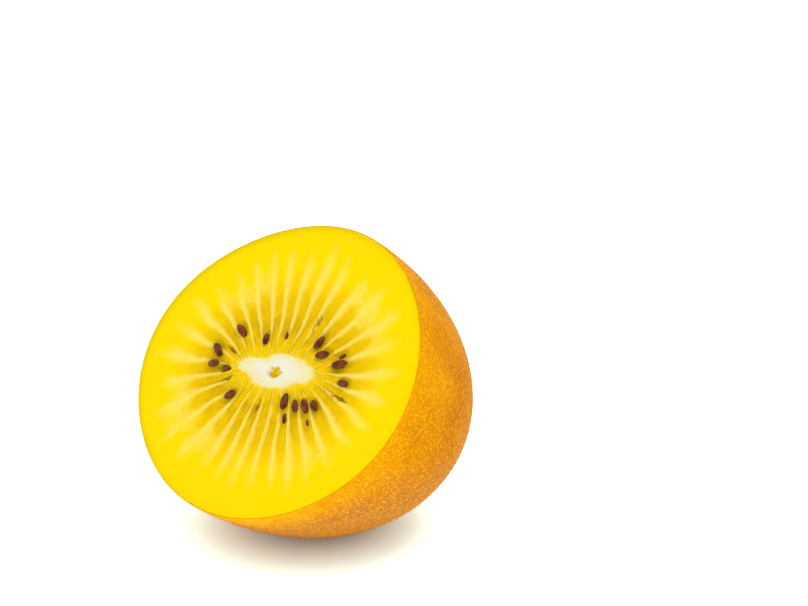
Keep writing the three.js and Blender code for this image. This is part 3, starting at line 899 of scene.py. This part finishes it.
def makeStub(material):
    draws = random.Random(3)
    piece = addStub()
    points = []
    for i in range(stub["points"]):
        angle = 2 * math.pi * (i + draws.uniform(-0.25, 0.25)) / stub["points"]
        points.append(addPoint(angle, stub["pointLong"] * draws.uniform(0.7, 1.15)))
    deselectAll()
    for part in [piece] + points:
        part.select_set(True)
    bpy.context.view_layer.objects.active = piece
    bpy.ops.object.join()
    piece.name = "stub"
    piece.data.transform(lying @ Matrix.Translation((0, 0, -stub["middle"])))
    piece.data.materials.append(material)
    smoothShade(piece, 40)
    return piece


# Down on the skin

down = {
    "count": 9000,
    "length": 0.55 * mm,
    "shortest": 0.6,  # shares of the length
    "longest": 1.3,
    "width": 0.045 * mm,
    "rooted": 0.08 * mm,  # depth of the root in the skin
    "lean": 50,  # degrees from upright
    "spread": 22,
    "swing": 0.5,
    "reach": 0.97,  # share of the way to the closed end, past which the skin is bare
    "lowest": 0.8 * mm,  # above the floor
}


def makeDown(material):
    # Short tapered hairs, rooted in the skin and combed towards the closed end
    draws = random.Random(11)
    middle = Vector((0, 0, -0.35 * fruit["depth"]))
    vertices, faces, fromRoot = [], [], []
    while len(faces) < 4 * down["count"]:
        angle = draws.uniform(0, 2 * math.pi)
        share = draws.random() ** 0.9 * down["reach"]
        root = Vector(outline(np.array([angle]), np.array([share]))[0])
        if (lying @ root).z < down["lowest"]:
            continue
        ahead = Vector(outline(np.array([angle]), np.array([share + 0.01]))[0])
        comb = (ahead - root).normalized()
        side = Vector(outline(np.array([angle + 0.01]), np.array([share]))[0]) - root
        normal = side.cross(comb).normalized()
        if normal.dot(root - middle) < 0:
            normal.negate()
        side.normalize()
        lean = math.radians(down["lean"] + draws.gauss(0, down["spread"]))
        swing = draws.gauss(0, down["swing"])
        along = comb * math.cos(swing) + side * math.sin(swing)
        way = normal * math.cos(lean) + along * math.sin(lean)
        length = down["length"] * draws.uniform(down["shortest"], down["longest"])
        tip = root + way * length
        across = way.cross(normal).normalized() * down["width"] / 2
        up = way.cross(across).normalized() * down["width"] / 2
        base = root - normal * down["rooted"]
        start = len(vertices)
        for corner in (across, -across * 0.5 + up * 0.87, -across * 0.5 - up * 0.87):
            vertices.append(lying @ (base + corner))
            fromRoot.append(0)
        vertices.append(lying @ tip)
        fromRoot.append(1)
        faces += [(start, start + 1, start + 3), (start + 1, start + 2, start + 3),
                  (start + 2, start, start + 3), (start + 2, start + 1, start)]
    mesh = bpy.data.meshes.new("down")
    mesh.from_pydata([tuple(v) for v in vertices], [], faces)
    writeAttribute(mesh, "along", np.array(fromRoot, float))
    piece = bpy.data.objects.new("down", mesh)
    bpy.context.collection.objects.link(piece)
    deselectAll()
    piece.select_set(True)
    bpy.context.view_layer.objects.active = piece
    editMode(True)
    bpy.ops.mesh.select_all(action="SELECT")
    bpy.ops.mesh.normals_make_consistent(inside=False)
    editMode(False)
    mesh.materials.append(material)
    return piece


# Studio

photo = {
    "azimuth": math.radians(47.4),
    "elevation": math.radians(22.5),
    "distance": 600 * mm,  # from the camera to the middle of the cut face, along the view
    "lens": 179.7,
    "faceRight": -18.93 * mm,  # the middle of the cut face from the picture's centre
    "faceDown": 10.04 * mm,
}


def makeCamera():
    a, e = photo["azimuth"], photo["elevation"]
    right = Vector((math.cos(a), math.sin(a), 0))
    back = Vector((math.sin(a) * math.cos(e), -math.cos(a) * math.cos(e), math.sin(e)))
    up = back.cross(right)
    data = bpy.data.cameras.new("camera")
    data.lens = photo["lens"]
    data.sensor_width = 36
    data.clip_start, data.clip_end = 0.01, 20
    camera = bpy.data.objects.new("camera", data)
    bpy.context.collection.objects.link(camera)
    camera.location = (lying.translation - photo["faceRight"] * right + photo["faceDown"] * up
                       + photo["distance"] * back)
    camera.rotation_euler = Matrix((right, up, back)).transposed().to_euler()
    bpy.context.scene.camera = camera


studio = {
    "world": 0.8,
    "key": 2.5,
    "keyPlace": (0.12, 0.08, 0.8),  # in metres
    "keySize": 0.7,
    "fill": 0.3,
    "fillPlace": (-0.5, -0.5, 0.35),
    "fillSize": 0.5,
    "aimHeight": 0.02,
    "floorSize": 40,
    "glow": 0.95,  # of the floor
    "paintedShadowReach": 8 * mm,
}


def makeFloorMaterial():
    # Matt white acrylic sheet with a light under it, which keeps the shadow short and pale. Close to the
    # fruit its glow is dimmed by ambient occlusion: a painted contact shadow.
    made, tree = startMaterial("matt white acrylic")
    at = addNode(tree, "TexCoord", {}, output="Object")
    cloud = addNode(tree, "TexNoise", {"Vector": at, "Scale": 3})
    colour = addNode(tree, "Mix", {0: cloud, 6: linear("#fbfbfa"), 7: linear("#ffffff")},
                     output=2, data_type="RGBA")
    # Painted contact shadow: the glow is dimmed by ambient occlusion where the fruit is near
    opened = addNode(tree, "AmbientOcclusion", {"Distance": studio["paintedShadowReach"]}, output="AO")
    glow = addNode(tree, "Math", {0: opened, 1: studio["glow"]}, operation="MULTIPLY")
    endMaterial(tree, {"Base Color": colour, "Roughness": 0.9, "Specular IOR Level": 0.1,
                       "Emission Color": linear("#d0fff4"), "Emission Strength": glow})
    return made


def addSoftbox(name, place, size, power):
    data = bpy.data.lights.new(name, "AREA")
    data.shape = "SQUARE"
    data.size = size
    data.energy = power
    light = bpy.data.objects.new(name, data)
    bpy.context.collection.objects.link(light)
    light.location = place
    aim = Vector((0, 0, studio["aimHeight"]))
    light.rotation_euler = (Vector(place) - aim).to_track_quat("Z", "Y").to_euler()


def makeStudio():
    deselectAll()
    bpy.ops.mesh.primitive_plane_add(size=studio["floorSize"])
    floor = bpy.context.object
    floor.name = "floor"
    floor.data.materials.append(makeFloorMaterial())
    world = bpy.data.worlds.new("studio")
    world.use_nodes = True
    background = world.node_tree.nodes["Background"]
    background.inputs["Color"].default_value = (1, 1, 1, 1)
    background.inputs["Strength"].default_value = studio["world"]
    bpy.context.scene.world = world
    addSoftbox("key", studio["keyPlace"], studio["keySize"], studio["key"])
    addSoftbox("fill", studio["fillPlace"], studio["fillSize"], studio["fill"])
    bpy.context.scene.view_settings.view_transform = "Standard"


# The scene

makeCamera()
print("camera placed")
skinPiece = makeSkin()
skinPiece.data.materials.append(makeSkinMaterial())
print("skin done")
fleshPiece = makeFlesh()
fleshPiece.data.materials.append(makeFleshMaterial())
print("flesh done")
seedPieces = makeSeeds(makeSeedMaterial())
print("seeds done")
downPiece = makeDown(makeDownMaterial())
print("down done")
stubPiece = makeStub(makeStubMaterial())
print("stub done")
makeStudio()

riding = [(skinPiece, "skin"), (fleshPiece, "flesh"), (downPiece, "skin"), (stubPiece, "scar")]
riding += [(seedPiece, "seed") for seedPiece in seedPieces]
for piece, slot in riding:
    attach(piece, "root")
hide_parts("kiwi_half")
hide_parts("kiwi_half")
print("all pieces ride on root")
